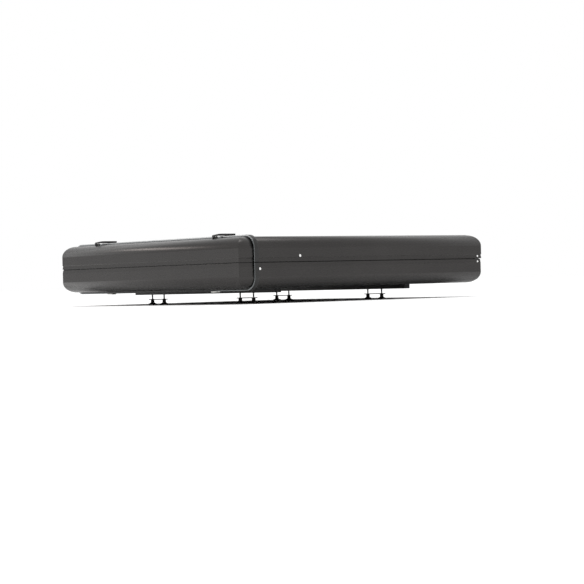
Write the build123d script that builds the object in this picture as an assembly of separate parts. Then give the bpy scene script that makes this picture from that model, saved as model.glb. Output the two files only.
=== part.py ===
"""Hard-shell roof cargo box: extruded aluminium shell, hinged lid, gas springs, lock and bar clamps.

Row frame: X across the car towards the lock side, Y along the car towards the rear, Z up.
The origin is the middle of the footprint, at the level of the clamp knobs' undersides.
A wall section is drawn as (u, v): u inwards from the outer face, v away from the lid seam.
"""
import math
import os

from build123d import *

# ---------------------------------------------------------------- driving dimensions (mm)
BOX_W = 1400.0  # across the car
BOX_L = 1436.0  # along the car
HALF_H = 110.0  # height of the lid, and of the base
SEAM_Z = 176.0  # the seam above the knobs' undersides
SEAM_GAP = 3.0  # gap between lid and base
EDGE_R = 50.0  # rounding of the long edges
WALL_DEPTH = 50.0  # depth of the wall extrusions
SPINE_DEPTH = 75.0  # depth of the fixed hinge-side extrusions
WALL_T = 3.0  # metal thickness of the extrusions
BELT_HALF = 18.0  # half height of the sloping belt along the seam
BELT_DEPTH = 1.8  # how far each half's belt slopes in
BELT_STEP = 2.0  # height of the step above the lid's belt
LID_OVERHANG = 5.0  # the lid reaches this far past the base on the lock side
PANEL_T = 3.0  # top and floor sheets
LIP_W = 12.0  # ledge that carries a sheet
LIP_T = 3.0
FLOOR_LINER_T = 3.0

HOOP_X = 77.0  # start of the raised hoop, from the hinge-side face
HOOP_W = 22.0
HOOP_RISE = 9.0
HOOP_BAR_H = 30.0  # depth of the lid hoop's top bar below the top face

HINGE_X = 50.0  # hinge axis, from the hinge-side face
HINGE_RISE = 8.0  # hinge axis above the top face
HINGE_SPAN = 957.0  # between the two hinges
HINGE_OFF = 0.5  # the pair's middle, from the box's middle
KNUCKLE_R = 7.5
KNUCKLE_W = 10.0
PIN_R = 3.5
PIN_BORE_R = 2.2
STRAP_W = 30.0
STRAP_T = 8.5
STRAP_X = (78.0, 154.0)  # the strap's plate, from the hinge-side face
STRAP_FOOT_X = (112.0, 150.0)  # its foot on the lid sheet
HOOP_CLEAR = 2.5  # between the hoop's top and the strap
LEAF_T = 2.5
LEAF_W = 36.0
EAR_W = 4.0
RUN_GAP = 0.06  # running clearance of pins and shafts
SIDE_GAP = 0.5

STRUT_U = 66.0  # plane of the gas springs, from the front or rear face
STRUT_BASE = (110.0, -27.0)  # base stud: from the hinge-side face, and from the seam
STRUT_LID = (327.0, 26.0)  # lid stud
TUBE_R = 12.0
TUBE_BORE_R = 10.7
TUBE_LEN = 175.0
TUBE_START = 22.0
ROD_R = 4.0
ROD_LEN = 190.0
STUD_R = 4.0
EYE_R = 9.0
EYE_W = 12.0

BAR_U = 64.0  # lock bar axis, from the lock-side face
BAR_V = 22.0
BAR_R = 6.0
BAR_HALF = 450.0
HOOK_Y = 430.0
HOOK_T = 8.0
HOOK_OPEN = 35.0  # the hooks stand released by this angle
STRIKER_DROP = 42.0  # striker pin below the lock bar
STRIKER_R = 4.0
BEARING_Y = 300.0
DISH_R = 21.0
DISH_DEEP = 17.0
DISH_V = 37.5
SHAFT_R = 5.0

RAIL_X = 375.0  # the two roof rails, from the middle
RAIL_W = 31.0
RAIL_HALF = 556.5
SLOT_W = 9.0
LIP_LOW = 4.0  # metal under the T-slot
TEE_W = 18.0
TEE_H = 8.0
CAP_T = 3.0

CLAMP_Y = {"front": -328.0, "rear": 384.0}  # the clamps slide along the rails
BOLT_PITCH = 100.0
CLAMP_STUD_R = 4.0
BAR_GAP = 20.0  # height of the crossbar that the clamps hold
PLATE_T = 4.0
PLATE_W = 30.0
PLATE_L = 132.0
KNOB_R = 20.0
KNOB_FLANGE = 8.0
KNOB_STEM_R = 8.5
KNOB_STEM_H = 14.0
STUD_LOW = 5.0  # lower end of the clamp studs
STUD_HEAD_H = 7.0
GASKET_IN = 4.0  # outer edge of the seam gasket, from the faces
GASKET_W = 12.0

HALF_W = BOX_W / 2
HALF_L = BOX_L / 2
TOP_Z = SEAM_Z + HALF_H
FLOOR_Z = SEAM_Z - HALF_H
V0 = SEAM_GAP / 2
BASE_RIGHT = HALF_W - LID_OVERHANG
HOOP_LEFT = HOOP_X - HALF_W
HOOP_RIGHT = HOOP_LEFT + HOOP_W
PLATE_TOP = KNOB_FLANGE + KNOB_STEM_H + PLATE_T  # the bar rests here
RAIL_BOTTOM = PLATE_TOP + BAR_GAP
BIG = 4000.0

os.makedirs("parts", exist_ok=True)
nodes = {}


# ---------------------------------------------------------------- small helpers
def keep(name, *shapes):
    """Name one node: one solid, or a group of separate solids."""
    solids = [solid for shape in shapes for solid in shape.solids()]
    nodes[name] = solids[0] if len(solids) == 1 else Compound(children=solids)
    return nodes[name]


def block(x, y, z):
    """A box from three (low, high) pairs."""
    size = (x[1] - x[0], y[1] - y[0], z[1] - z[0])
    return Pos((x[0] + x[1]) / 2, (y[0] + y[1]) / 2, (z[0] + z[1]) / 2) * Box(*size)


def rod(start, end, radius):
    """A round bar between two points."""
    start, end = Vector(*start), Vector(*end)
    run = end - start
    plane = Plane(origin=start, z_dir=run)
    return extrude(plane * Circle(radius), amount=run.length)


def prism_y(points, y_mid, width):
    """A closed outline in X and Z, made solid along Y about y_mid."""
    plane = Plane(origin=(0, y_mid, 0), x_dir=(1, 0, 0), z_dir=(0, -1, 0))
    face = make_face(Polyline(*points, close=True))
    return extrude(plane * face, amount=width / 2, both=True)


def plan_prism(points):
    """A plan outline in X and Y, made solid through the whole height."""
    return extrude(make_face(Polyline(*points, close=True)), amount=BIG / 2, both=True)


def from_seam(v):
    """Height above the knobs' undersides of a level measured from the seam."""
    return SEAM_Z + v


# ---------------------------------------------------------------- wall sections
def outer_section(depth, upward, lip_at=None):
    """Section of a wall extrusion; lip_at is the outer level of its sheet ledge."""
    if upward:
        belt = [(0, V0), (BELT_DEPTH, BELT_HALF), (0, BELT_HALF + BELT_STEP)]
    else:
        belt = [(BELT_DEPTH, V0), (0, BELT_HALF)]
    shell = Polyline((depth, V0), *belt, (0, HALF_H - EDGE_R))
    arc = CenterArc((EDGE_R, HALF_H - EDGE_R), EDGE_R, 90, 90)
    inner = [(EDGE_R, HALF_H), (depth, HALF_H)]
    if lip_at is not None:
        lip_end = depth + LIP_W
        inner += [(depth, lip_at), (lip_end, lip_at), (lip_end, lip_at - LIP_T), (depth, lip_at - LIP_T)]
    inner = [point for index, point in enumerate(inner) if index == 0 or point != inner[index - 1]]
    return make_face(shell + arc + Polyline(*inner, (depth, V0)))


def chamber_section(depth):
    """The hollow inside a wall extrusion."""
    skin_r = EDGE_R - WALL_T
    right = depth - WALL_T
    mid_v = HALF_H - EDGE_R
    arc_end_u = min(right, EDGE_R)
    arc_end_v = mid_v + math.sqrt(skin_r**2 - (EDGE_R - arc_end_u) ** 2)
    sweep = math.degrees(math.acos((EDGE_R - arc_end_u) / skin_r))
    low = V0 + WALL_T
    behind_belt = BELT_DEPTH + WALL_T
    start = [(right, low), (behind_belt, low), (behind_belt, BELT_HALF), (WALL_T, BELT_HALF + 2 * BELT_STEP)]
    shell = Polyline(*start, (WALL_T, mid_v))
    arc = CenterArc((EDGE_R, mid_v), skin_r, 180, -sweep)
    tail = [(arc_end_u, arc_end_v)]
    if right > arc_end_u:
        tail.append((right, arc_end_v))
    return make_face(shell + arc + Polyline(*tail, (right, low)))


def hoop_section():
    """Outline of the raised hoop over the flat face and the rounding."""
    outer_r = EDGE_R + HOOP_RISE
    mid_v = HALF_H - EDGE_R
    low = Polyline((EDGE_R, V0), (-HOOP_RISE, V0), (-HOOP_RISE, mid_v))
    arc = CenterArc((EDGE_R, mid_v), outer_r, 90, 90)
    return make_face(low + arc + Line((EDGE_R, mid_v + outer_r), (EDGE_R, V0)))


def run_section(section, inward, reach, upward, length, shift=(0, 0, 0)):
    """Run a section along a wall: inward is the way into the box, reach the outer face's distance."""
    inward = Vector(*inward)
    away = Vector(0, 0, 1 if upward else -1)
    origin = inward * -reach + Vector(0, 0, SEAM_Z) + Vector(*shift)
    plane = Plane(origin=origin, x_dir=inward, z_dir=inward.cross(away))
    return extrude(plane * section, amount=length / 2, both=True)


def mitre_plan(side, left, right, left_depth):
    """Plan outline that one wall keeps where it meets its neighbours."""
    deep_x = left + left_depth + LIP_W
    deep_y = HALF_L - WALL_DEPTH
    edge = LIP_W if left_depth > WALL_DEPTH else 0
    if side == "left":
        bend_x = left + WALL_DEPTH
        inside = [(bend_x, -deep_y), (deep_x, -deep_y), (deep_x, deep_y), (bend_x, deep_y)]
        return [(left, HALF_L), (left, -HALF_L), *inside]
    if side == "right":
        inner = WALL_DEPTH + LIP_W
        deep_x, deep_y = right - inner, HALF_L - inner
        return [(right, -HALF_L), (right, HALF_L), (deep_x, deep_y), (deep_x, -deep_y)]
    sign = -1 if side == "front" else 1
    inner = WALL_DEPTH + LIP_W
    start = [(left, sign * HALF_L)]
    if left_depth:
        start += [(left + WALL_DEPTH, sign * deep_y), (left + left_depth + edge, sign * deep_y),
                  (left + left_depth + edge, sign * (HALF_L - inner))]
    else:
        start += [(left, sign * (HALF_L - inner))]
    return start + [(right - inner, sign * (HALF_L - inner)), (right, sign * HALF_L)]


INWARD = {"left": (1, 0, 0), "right": (-1, 0, 0), "front": (0, 1, 0), "rear": (0, -1, 0)}
SIGN = {"front": -1, "rear": 1}


def wall(side, upward, left, right, left_depth):
    """One mitred wall extrusion with its chamber and its ledge."""
    depth = SPINE_DEPTH if side == "left" else WALL_DEPTH
    reach = {"left": HALF_W, "right": right}.get(side, HALF_L)
    lip_at = HALF_H - PANEL_T if upward else HALF_H
    if side == "left" and upward:
        lip_at = None
    body = run_section(outer_section(depth, upward, lip_at), INWARD[side], reach, upward, BIG)
    body &= plan_prism(mitre_plan(side, left, right, left_depth))
    return body - run_section(chamber_section(depth), INWARD[side], reach, upward, BIG)


# ---------------------------------------------------------------- fasteners through the walls
def face_point(side, x_from_left, u, v):
    """A point on or behind the front or rear face."""
    return (x_from_left - HALF_W, SIGN[side] * (HALF_L - u), from_seam(v))


def wall_bolt(side, x_from_left, v, shank_end, head_r=4.5, head_out=1.8, shank_r=3.0, head_in=0.0):
    """A round-headed bolt driven in through the front or rear face."""
    def at(u):
        return face_point(side, x_from_left, u, v)
    head = rod(at(-head_out), at(head_in), head_r)
    head = fillet(head.edges().sort_by(Axis.Y)[0 if side == "front" else -1], head_out * 0.8)
    return head + rod(at(head_in), at(shank_end), shank_r)


def strut_stud(side, spot):
    """Ball-stud bolt of a gas spring: head outside, spacer and pivot pin inside."""
    x, v = spot
    head = wall_bolt(side, x, v, WALL_DEPTH, head_r=5.5, head_out=2.2, shank_r=STUD_R)
    half = EYE_W / 2 + SIDE_GAP

    def at(u):
        return face_point(side, x, u, v)
    spacer = rod(at(WALL_DEPTH), at(STRUT_U - half), 7.0)
    pin = rod(at(STRUT_U - half), at(STRUT_U + half), STUD_R)
    cap = rod(at(STRUT_U + half), at(STRUT_U + half + 2.5), 6.0)
    return head + spacer + pin + cap


# ---------------------------------------------------------------- walls of base, spine and lid
base_walls = {side: wall(side, False, -HALF_W, BASE_RIGHT, SPINE_DEPTH) for side in INWARD}
spine_wall = wall("left", True, -HALF_W, HALF_W, SPINE_DEPTH)
lid_walls = {side: wall(side, True, HOOP_RIGHT, HALF_W, 0) for side in ("front", "rear", "right")}


def spine_end(side):
    """Solid corner block that ends the fixed spine, mitred to it."""
    body = run_section(outer_section(WALL_DEPTH, True), INWARD[side], HALF_L, True, BIG)
    sign = SIGN[side]
    deep_y = sign * (HALF_L - WALL_DEPTH)
    left, right = -HALF_W, SPINE_DEPTH - HALF_W
    plan = [(left, sign * HALF_L), (right, sign * HALF_L), (right, deep_y), (left + WALL_DEPTH, deep_y)]
    return body & plan_prism(plan)


def hoop_leg(side, upward):
    """One end of the raised hoop: its upright and its rounding."""
    length = HOOP_W
    shift = (HOOP_LEFT + HOOP_W / 2, 0, 0)
    return run_section(hoop_section(), INWARD[side], HALF_L, upward, length, shift)


hoop_x = (HOOP_LEFT, HOOP_RIGHT)
hoop_y = (-HALF_L + EDGE_R, HALF_L - EDGE_R)
lid_hoop = [hoop_leg(side, True) for side in SIGN]
lid_hoop.append(block(hoop_x, hoop_y, (TOP_Z - HOOP_BAR_H, TOP_Z + HOOP_RISE)))
base_section = outer_section(WALL_DEPTH, False)
shell_core = {side: run_section(base_section, INWARD[side], HALF_L, False, BIG) for side in SIGN}
base_band = [hoop_leg(side, False) - shell_core[side] for side in SIGN]
base_band.append(block(hoop_x, hoop_y, (FLOOR_Z - HOOP_RISE, FLOOR_Z)))

# ---------------------------------------------------------------- sheets and seals
sheet_y = (-HALF_L + WALL_DEPTH, HALF_L - WALL_DEPTH)
lid_panel = block((HOOP_RIGHT, HALF_W - WALL_DEPTH), sheet_y, (TOP_Z - PANEL_T, TOP_Z))
floor_low = FLOOR_Z + LIP_T
floor_x = (-HALF_W + SPINE_DEPTH, BASE_RIGHT - WALL_DEPTH)
floor_panel = block(floor_x, sheet_y, (floor_low, floor_low + PANEL_T))
floor_top = floor_low + PANEL_T
liner_y = (sheet_y[0] + 1, sheet_y[1] - 1)
floor_liner = block((floor_x[0] + 1, floor_x[1] - 1), liner_y, (floor_top, floor_top + FLOOR_LINER_T))

strip_z = (from_seam(-V0), from_seam(V0))
spine_strip = block((-HALF_W + GASKET_IN, -HALF_W + 71), (GASKET_IN - HALF_L, HALF_L - GASKET_IN), strip_z)
gasket_z = (from_seam(-V0), from_seam(V0 - 0.3))
gasket_x = (-HALF_W + 73, BASE_RIGHT - GASKET_IN)
gasket_y = HALF_L - GASKET_IN
gasket = block(gasket_x, (-gasket_y, gasket_y), gasket_z)
gasket_hole_y = (GASKET_W - gasket_y, gasket_y - GASKET_W)
gasket -= block((gasket_x[0] - 5, gasket_x[1] - GASKET_W), gasket_hole_y, (0, BIG / 2))
hinge_seal = block((-HALF_W + SPINE_DEPTH, HOOP_LEFT - 0.4), hoop_y, (TOP_Z - 25, TOP_Z - 8))


# ---------------------------------------------------------------- strap hinges
hinge_x = HINGE_X - HALF_W
hinge_z = TOP_Z + HINGE_RISE
plate_x = (STRAP_X[0] - HALF_W, STRAP_X[1] - HALF_W)
foot_x = (STRAP_FOOT_X[0] - HALF_W, STRAP_FOOT_X[1] - HALF_W)
arch_z = TOP_Z + HOOP_RISE + HOOP_CLEAR
strap_top = arch_z + STRAP_T


def hinge_strap(y_mid):
    """Knuckle, cranked arm over the hoop, and a plate on a foot on the lid sheet."""
    arm = [
        (hinge_x - 1, hinge_z + KNUCKLE_R), (plate_x[0] - 2, strap_top), (plate_x[0] + 12, strap_top),
        (plate_x[0] + 12, arch_z), (hinge_x + 18, arch_z), (hinge_x + 3, hinge_z + 1),
    ]
    strap = prism_y(arm, y_mid, KNUCKLE_W)
    plate_y = (y_mid - STRAP_W / 2, y_mid + STRAP_W / 2)
    plate = block(plate_x, plate_y, (arch_z, strap_top))
    plate = fillet(plate.edges().filter_by(Axis.Z), STRAP_W / 4)
    strap += plate + block(foot_x, (plate_y[0] + 3, plate_y[1] - 3), (TOP_Z, arch_z))
    half = KNUCKLE_W / 2
    knuckle = rod((hinge_x, y_mid - half, hinge_z), (hinge_x, y_mid + half, hinge_z), KNUCKLE_R)
    bore = rod((hinge_x, y_mid - STRAP_W, hinge_z), (hinge_x, y_mid + STRAP_W, hinge_z), PIN_R + RUN_GAP)
    return strap + knuckle - bore


def hinge_leaf(y_mid):
    """Plate on the spine with an ear at each end of the knuckle."""
    half = KNUCKLE_W / 2 + SIDE_GAP
    leaf_y = (y_mid - LEAF_W / 2, y_mid + LEAF_W / 2)
    leaf = block((hinge_x + 8, hinge_x + 24), leaf_y, (TOP_Z, TOP_Z + LEAF_T))
    for sign in (-1, 1):
        y_ear = y_mid + sign * (half + EAR_W / 2)
        toe_x = hinge_x + 12
        web = [(hinge_x - 6, TOP_Z), (toe_x, TOP_Z), (toe_x, TOP_Z + 3), (hinge_x + 6, hinge_z + 3)]
        leaf += prism_y([*web, (hinge_x - 6, hinge_z + 2)], y_ear, EAR_W)
        leaf += rod((hinge_x, y_ear - EAR_W / 2, hinge_z), (hinge_x, y_ear + EAR_W / 2, hinge_z), KNUCKLE_R)
    return leaf - rod((hinge_x, y_mid - STRAP_W, hinge_z), (hinge_x, y_mid + STRAP_W, hinge_z), PIN_R)


def hinge_pin(y_mid):
    """Hollow pin through both ears."""
    half = KNUCKLE_W / 2 + SIDE_GAP + EAR_W
    ends = ((hinge_x, y_mid - half, hinge_z), (hinge_x, y_mid + half, hinge_z))
    return rod(*ends, PIN_R) - rod(*ends, PIN_BORE_R)


def foot_screws(y_mid):
    """Three domed screws, sunk in the strap's plate, that hold it to the lid."""
    screws = []
    spots = [(foot_x[0] + 8, -6.5), (foot_x[0] + 8, 6.5), (foot_x[1] - 9, 0)]
    seat = strap_top - 2.4
    for x, dy in spots:
        head = rod((x, y_mid + dy, seat), (x, y_mid + dy, strap_top), 4.5)
        head = fillet(head.edges().sort_by(Axis.Z)[-1], 1.8)
        screws.append(head + rod((x, y_mid + dy, seat), (x, y_mid + dy, TOP_Z - 8), 2.5))
    return screws


HINGE_Y = {"front": HINGE_OFF - HINGE_SPAN / 2, "rear": HINGE_OFF + HINGE_SPAN / 2}
straps = {end: hinge_strap(y) for end, y in HINGE_Y.items()}
screws = [screw for y in HINGE_Y.values() for screw in foot_screws(y)]
for screw in screws:
    lid_panel -= screw
    straps = {end: strap - screw for end, strap in straps.items()}
for end, y in HINGE_Y.items():
    keep(f"hinge_strap_{end}", straps[end])
    keep(f"hinge_leaf_{end}", hinge_leaf(y))
keep("hinge_pins", *(hinge_pin(y) for y in HINGE_Y.values()))
keep("strap_screws", *screws)


# ---------------------------------------------------------------- gas springs
def strut_frame(side):
    """The spring's own frame at rest: z from the base stud to the lid stud, y along the stud."""
    start = Vector(*face_point(side, STRUT_BASE[0], STRUT_U, STRUT_BASE[1]))
    end = Vector(*face_point(side, STRUT_LID[0], STRUT_U, STRUT_LID[1]))
    return Plane(origin=start, x_dir=(0, 1, 0), z_dir=end - start), (end - start).length


def strut_eye(frame, height):
    """Flat eye with a running bore round a stud."""
    at = frame * Pos(0, 0, height) * Rot(0, 90, 0)
    return at * (Cylinder(EYE_R, EYE_W) - Cylinder(STUD_R + RUN_GAP, EYE_W * 2))


def tube_at(frame, radius, low, high):
    """A round bar along the spring's axis."""
    upright = (Align.CENTER, Align.CENTER, Align.MIN)
    return frame * Pos(0, 0, low) * Cylinder(radius, high - low, align=upright)


for side in SIGN:
    frame, reach = strut_frame(side)
    neck = tube_at(frame, 5.0, EYE_R - 2, TUBE_START) - tube_at(frame, STUD_R + 1, 0, 1)
    tube = tube_at(frame, TUBE_R, TUBE_START, TUBE_LEN)
    tube -= tube_at(frame, TUBE_BORE_R, TUBE_START + 4, TUBE_LEN + 1)
    keep(f"strut_cylinder_{side}", strut_eye(frame, 0) + neck + tube)
    piston_rod = tube_at(frame, ROD_R, reach - ROD_LEN, reach - EYE_R + 2)
    keep(f"strut_rod_{side}", strut_eye(frame, reach) + piston_rod)

base_studs = {side: strut_stud(side, STRUT_BASE) for side in SIGN}
lid_studs = {side: strut_stud(side, STRUT_LID) for side in SIGN}
corner_x = 1375.0
base_bolts = {side: wall_bolt(side, corner_x, -13.0, 22.0, head_in=6.0) for side in SIGN}
lid_bolts = {side: wall_bolt(side, corner_x, 12.0, 22.0, head_in=6.0) for side in SIGN}
for side in SIGN:
    base_walls[side] -= base_studs[side]
    base_walls[side] -= base_bolts[side]
    lid_walls[side] -= lid_studs[side]
    lid_walls[side] -= lid_bolts[side]
for bolt in (*base_bolts.values(), *base_studs.values()):
    base_walls["right"] -= bolt
for bolt in lid_bolts.values():
    lid_walls["right"] -= bolt
keep("strut_studs_base", *base_studs.values())
keep("strut_studs_lid", *lid_studs.values())
keep("corner_bolts_base", *base_bolts.values())
keep("corner_bolts_lid", *lid_bolts.values())

# ---------------------------------------------------------------- lock
bar_x = HALF_W - BAR_U
bar_z = from_seam(BAR_V)
pin_z = bar_z - STRIKER_DROP
lid_inner_x = HALF_W - WALL_DEPTH
base_inner_x = BASE_RIGHT - WALL_DEPTH


def lock_hook(y_mid):
    """Hook that swings under a striker pin, drawn released."""
    low = -STRIKER_DROP - STRIKER_R - 0.7
    toe = low - 7.5
    outline = [(-9, 6), (-14, 0), (-14, toe), (3, toe), (5, low), (-6.5, low), (-6.5, -8), (2, -6)]
    hook = prism_y([(bar_x + x, bar_z + z) for x, z in outline], y_mid, HOOK_T)
    hook += rod((bar_x, y_mid - HOOK_T / 2, bar_z), (bar_x, y_mid + HOOK_T / 2, bar_z), 11.0)
    return hook.rotate(Axis((bar_x, y_mid, bar_z), (0, 1, 0)), HOOK_OPEN)


def striker(y_mid):
    """Bracket on the base wall with a pin across two ears."""
    body = block((base_inner_x - 3, base_inner_x), (y_mid - 22, y_mid + 22), (pin_z - 15, pin_z + 11))
    for sign in (-1, 1):
        ear_y = sorted((y_mid + sign * 10, y_mid + sign * 14))
        body += block((bar_x - 7, base_inner_x - 3), ear_y, (pin_z - 9, pin_z + 8))
    return body + rod((bar_x, y_mid - 14, pin_z), (bar_x, y_mid + 14, pin_z), STRIKER_R)


def bearing(y_mid):
    """Block on the lid wall that carries the lock bar."""
    body = block((bar_x - 11, lid_inner_x), (y_mid - 8, y_mid + 8), (bar_z - 11, bar_z + 11))
    return body - rod((bar_x, y_mid - 20, bar_z), (bar_x, y_mid + 20, bar_z), BAR_R + RUN_GAP)


lock_bar = rod((bar_x, -BAR_HALF, bar_z), (bar_x, BAR_HALF, bar_z), BAR_R)
lever = [(bar_x - 22, bar_z + 12), (bar_x - 18, bar_z + 16), (bar_x + 3, bar_z + 5), (bar_x - 5, bar_z - 3)]
lock_bar += prism_y(lever, 34.0, 6.0)
for sign in (-1, 1):
    lock_bar += lock_hook(sign * HOOK_Y)
keep("lock_bar", lock_bar)
keep("lock_strikers", *(striker(sign * HOOK_Y) for sign in (-1, 1)))
keep("lock_bearings", *(bearing(sign * BEARING_Y) for sign in (-1, 1)))


def across(u_start, u_end, radius, z=from_seam(DISH_V)):
    """A round bar across the lock-side wall, by depth from its outer face."""
    return rod((HALF_W - u_start, 0, z), (HALF_W - u_end, 0, z), radius)


dish = across(0, DISH_DEEP, DISH_R) - across(-1, DISH_DEEP - 3, DISH_R - 2)
dish -= across(0, DISH_DEEP + 1, SHAFT_R + RUN_GAP)
grip_z = from_seam(DISH_V)
handle = block((HALF_W - 12, HALF_W - 1), (-17, 17), (grip_z - 4.5, grip_z + 4.5)) + across(1, 12, 9.5)
handle += across(12, 82, SHAFT_R) + across(82, 87, 12.0)
handle -= across(0, 9, 6.0 + RUN_GAP)
key_barrel = across(1, 8.9, 6.0) - block((HALF_W - 5, HALF_W), (-0.8, 0.8), (grip_z - 3.5, grip_z + 3.5))
lid_walls["right"] -= across(-1, DISH_DEEP, DISH_R)
lid_walls["right"] -= across(DISH_DEEP, WALL_DEPTH + 5, SHAFT_R + 1.5)
keep("lock_dish", dish)
keep("lock_handle", handle)
keep("key_barrel", key_barrel)


# ---------------------------------------------------------------- roof rails
def rail(x_mid):
    """T-slotted rail with a hollow upper chamber."""
    body = block((x_mid - RAIL_W / 2, x_mid + RAIL_W / 2), (-RAIL_HALF, RAIL_HALF), (RAIL_BOTTOM, floor_low))
    slot_top = RAIL_BOTTOM + LIP_LOW + TEE_H
    body -= block((x_mid - SLOT_W / 2, x_mid + SLOT_W / 2), (-BIG, BIG), (RAIL_BOTTOM - 1, slot_top))
    body -= block((x_mid - TEE_W / 2, x_mid + TEE_W / 2), (-BIG, BIG), (RAIL_BOTTOM + LIP_LOW, slot_top))
    half = TEE_W / 2 + 3
    return body - block((x_mid - half, x_mid + half), (-BIG, BIG), (slot_top + 3, floor_low - 3))


def rail_bolt(x, y):
    """Bolt from the box's floor down into the rail's chamber."""
    head = rod((x, y, floor_top), (x, y, floor_top + 2.6), 7.0)
    head = fillet(head.edges().sort_by(Axis.Z)[-1], 1.5)
    return head + rod((x, y, floor_top), (x, y, floor_low - 7), 3.0)


rails = {"left": rail(-RAIL_X), "right": rail(RAIL_X)}
rail_bolt_y = (-500.0, -166.0, 166.0, 500.0)
rail_bolts = [rail_bolt(sign * RAIL_X, y) for sign in (-1, 1) for y in rail_bolt_y]
for bolt in rail_bolts:
    floor_panel -= bolt
    floor_liner -= bolt
    rails = {name: body - bolt for name, body in rails.items()}
for name, body in rails.items():
    keep(f"rail_{name}", body)
keep("rail_bolts", *rail_bolts)
caps = []
for sign_x in (-1, 1):
    for sign_y in (-1, 1):
        cap_x = (sign_x * RAIL_X - RAIL_W / 2, sign_x * RAIL_X + RAIL_W / 2)
        cap_y = sorted((sign_y * RAIL_HALF, sign_y * (RAIL_HALF + CAP_T)))
        caps.append(block(cap_x, cap_y, (RAIL_BOTTOM, floor_low)))
keep("rail_caps", *caps)


# ---------------------------------------------------------------- crossbar clamps
def clamp_bolt(x, y):
    """Stud with a square head that slides in the rail's slot."""
    head_z = RAIL_BOTTOM + LIP_LOW + 0.3
    head_x = (x - TEE_W / 2 + SIDE_GAP, x + TEE_W / 2 - SIDE_GAP)
    head = block(head_x, (y - 8, y + 8), (head_z, head_z + STUD_HEAD_H))
    return head + rod((x, y, head_z), (x, y, STUD_LOW), CLAMP_STUD_R)


def clamp_plate(x, y):
    """Plate with rounded ends that grips the underside of the bar."""
    plate_y = (y - PLATE_L / 2, y + PLATE_L / 2)
    body = block((x - PLATE_W / 2, x + PLATE_W / 2), plate_y, (PLATE_TOP - PLATE_T, PLATE_TOP))
    body = fillet(body.edges().filter_by(Axis.Z), 10.0)
    for sign in (-1, 1):
        y_hole = y + sign * BOLT_PITCH / 2
        body -= rod((x, y_hole, 0), (x, y_hole, PLATE_TOP + 1), CLAMP_STUD_R + SIDE_GAP)
    return body


def knob(x, y):
    """Flanged thumb knob with a blind hole for the stud."""
    flange = rod((x, y, 0), (x, y, KNOB_FLANGE), KNOB_R)
    flange = fillet(flange.edges().filter_by(GeomType.CIRCLE), 2.5)
    stem = rod((x, y, KNOB_FLANGE), (x, y, PLATE_TOP - PLATE_T), KNOB_STEM_R)
    for step in range(10):
        angle = math.radians(36 * step)
        notch_x = x + (KNOB_R + 2.5) * math.cos(angle)
        notch_y = y + (KNOB_R + 2.5) * math.sin(angle)
        flange -= rod((notch_x, notch_y, -1), (notch_x, notch_y, KNOB_FLANGE + 1), 4.0)
    return flange + stem - rod((x, y, STUD_LOW - 2), (x, y, PLATE_TOP), CLAMP_STUD_R + RUN_GAP)


for side_x, sign_x in (("left", -1), ("right", 1)):
    for end, y in CLAMP_Y.items():
        x = sign_x * RAIL_X
        spots = (y - BOLT_PITCH / 2, y + BOLT_PITCH / 2)
        keep(f"clamp_bolts_{end}_{side_x}", *(clamp_bolt(x, spot) for spot in spots))
        keep(f"clamp_plate_{end}_{side_x}", clamp_plate(x, y))
        for letter, spot in zip("ab", spots):
            keep(f"clamp_knob_{end}_{side_x}_{letter}", knob(x, spot))


# ---------------------------------------------------------------- small fittings
def tie_down(side, x):
    """Bent bar loop on a plate, on the inside of a base wall."""
    sign = SIGN[side]
    y_wall = sign * (HALF_L - WALL_DEPTH)
    z_mid = from_seam(-72.0)
    def from_wall(near, far):
        return sorted((y_wall - sign * near, y_wall - sign * far))
    plate = block((x - 24, x + 24), from_wall(0, 3), (z_mid - 10, z_mid + 10))
    loop = block((x - 17, x + 17), from_wall(3, 20), (z_mid - 3, z_mid + 3))
    return plate + loop - block((x - 11, x + 11), from_wall(3, 14), (z_mid - 9, z_mid + 9))


keep("tie_downs", *(tie_down(side, x) for side in SIGN for x in (-400.0, 400.0)))
clip_z = (FLOOR_Z - HOOP_RISE - 4, FLOOR_Z - HOOP_RISE)
clip_spots = ((-421.0, 34.0), (422.0, 40.0))
clip_x = (HOOP_LEFT - 1, HOOP_RIGHT + 1)
keep("band_clips", *(block(clip_x, (y - w / 2, y + w / 2), clip_z) for y, w in clip_spots))

for side, body in base_walls.items():
    keep(f"base_wall_{side}", body)
for side, body in lid_walls.items():
    keep(f"lid_wall_{side}", body)
keep("spine_wall", spine_wall)
for side in SIGN:
    keep(f"spine_end_{side}", spine_end(side))
keep("lid_hoop", *lid_hoop)
keep("base_band", *base_band)
keep("lid_panel", lid_panel)
keep("floor_panel", floor_panel)
keep("floor_liner", floor_liner)
keep("spine_strip", spine_strip)
keep("seam_gasket", gasket)
keep("hinge_seal", hinge_seal)

for name, shape in nodes.items():
    export_step(shape, f"parts/{name}.step")
print(len(nodes), "nodes")
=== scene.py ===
"""Looks of the roof cargo box: finishes, studio and the pieces that need finer shapes than the frame's."""

import logging
import math
from dataclasses import dataclass
from enum import Enum
from typing import Callable, Iterable, Sequence

import bpy
import numpy as np
from mathutils import Matrix, Vector


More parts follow.
